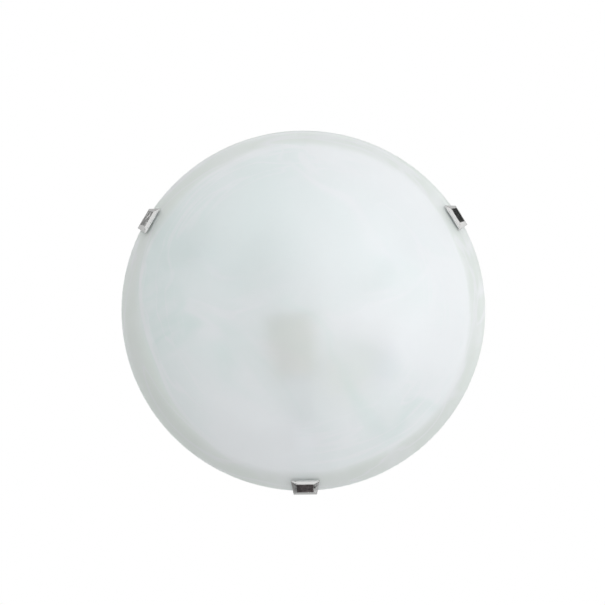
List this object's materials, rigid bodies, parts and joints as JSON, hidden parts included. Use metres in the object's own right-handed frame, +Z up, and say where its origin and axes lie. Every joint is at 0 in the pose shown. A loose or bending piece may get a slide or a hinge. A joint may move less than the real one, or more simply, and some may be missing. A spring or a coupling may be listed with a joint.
{
  "type": "flush mount ceiling light",
  "caption": "Round flush mount ceiling light: a satin marbled glass dish held under a white steel pan by chromed clips, with a screw lamp inside.",
  "frame": {"origin": "centre of the pan's back face, on the ceiling", "axes": "+Z up into the ceiling, square to the pan's back face; +Y towards the sprung clip"},
  "size_m": [0.2992, 0.3023, 0.086],
  "materials": {
    "satin_glass": "satin, faintly marbled",
    "white_enamel": "gloss stove enamel",
    "chrome_plate": "bright chrome plate",
    "zinc_steel": "zinc plated",
    "spring_steel": "drawn wire",
    "clear_liner": "soft translucent vinyl",
    "porcelain": "glazed ivory porcelain",
    "brass": "stamped brass",
    "screw_steel": "zinc plated",
    "pearl_glass": "pearl frosted inside",
    "cap_aluminium": "rolled aluminium",
    "black_glass": "black glass",
    "solder": "tinned solder",
    "stem_glass": "clear",
    "tungsten": "drawn wire",
    "block_nylon": "moulded nylon",
    "brown_lead": "silicone insulation",
    "blue_lead": "silicone insulation",
    "green_yellow_lead": "silicone insulation, striped",
    "grommet_rubber": "black rubber"
  },
  "bodies": {
    "fixture": {"pan": "white_enamel", "clip_cap_left": "chrome_plate", "clip_cap_right": "chrome_plate", "fixed_arm_left": "zinc_steel", "fixed_arm_right": "zinc_steel", "arm_guide": "zinc_steel", "lampholder_bracket": "zinc_steel", "arm_rivets": "zinc_steel", "guide_rivets": "zinc_steel", "bracket_rivets": "zinc_steel", "block_rivet": "zinc_steel", "bracket_screws": "zinc_steel", "earth_stud": "zinc_steel", "star_washer": "zinc_steel", "earth_nut": "zinc_steel", "clip_spring": "spring_steel", "clip_pad_left": "clear_liner", "clip_pad_right": "clear_liner", "lampholder_body": "porcelain", "threaded_shell": "brass", "centre_contact": "brass", "holder_terminals": "brass", "bracket_inserts": "brass", "block_inserts": "brass", "earth_lug": "brass", "block_screws": "screw_steel", "terminal_block": "block_nylon", "live_lead": "brown_lead", "neutral_lead": "blue_lead", "earth_lead": "green_yellow_lead", "cable_grommet": "grommet_rubber"},
    "glass": {"glass_dish": "satin_glass"},
    "sprung_clip": {"sliding_arm": "zinc_steel", "clip_pad_front": "clear_liner", "clip_cap_front": "chrome_plate", "spring_washer": "zinc_steel", "spring_pin": "zinc_steel"},
    "lamp_base": {"bulb_contact": "solder"},
    "lamp": {"bulb_glass": "pearl_glass", "bulb_cap": "cap_aluminium", "bulb_insulator": "black_glass", "bulb_stem": "stem_glass", "bulb_filament": "tungsten", "bulb_leads": "tungsten"}
  },
  "joints": [
    {"name": "glass_tilt", "type": "hinge", "parent": "fixture", "child": "glass", "pos_m": [0, -0.075, -0.0148], "axis": [-1, 0, 0], "range_deg": [0, 3.4]},
    {"name": "clip_slide", "type": "slide", "parent": "fixture", "child": "sprung_clip", "axis": [0, 1, 0], "range_m": [0, 0.009], "stiffness_N_per_m": 800, "springref_m": -0.0125, "deforming": ["clip_spring"]},
    {"name": "lamp_slide", "type": "slide", "parent": "fixture", "child": "lamp_base", "axis": [-0.1219, -0.9925, 0], "range_m": [0, 0.02]},
    {"name": "lamp_turn", "type": "hinge", "parent": "lamp_base", "child": "lamp", "pos_m": [-0.0122, 0.0112, -0.037], "axis": [-0.1219, -0.9925, 0], "range_deg": [0, 1980]}
  ],
  "couplings": [
    {"joint": "clip_slide", "follows": "glass_tilt", "m_per_rad": 0.15},
    {"joint": "lamp_slide", "follows": "lamp_turn", "m_per_rad": 0.00057757}
  ]
}
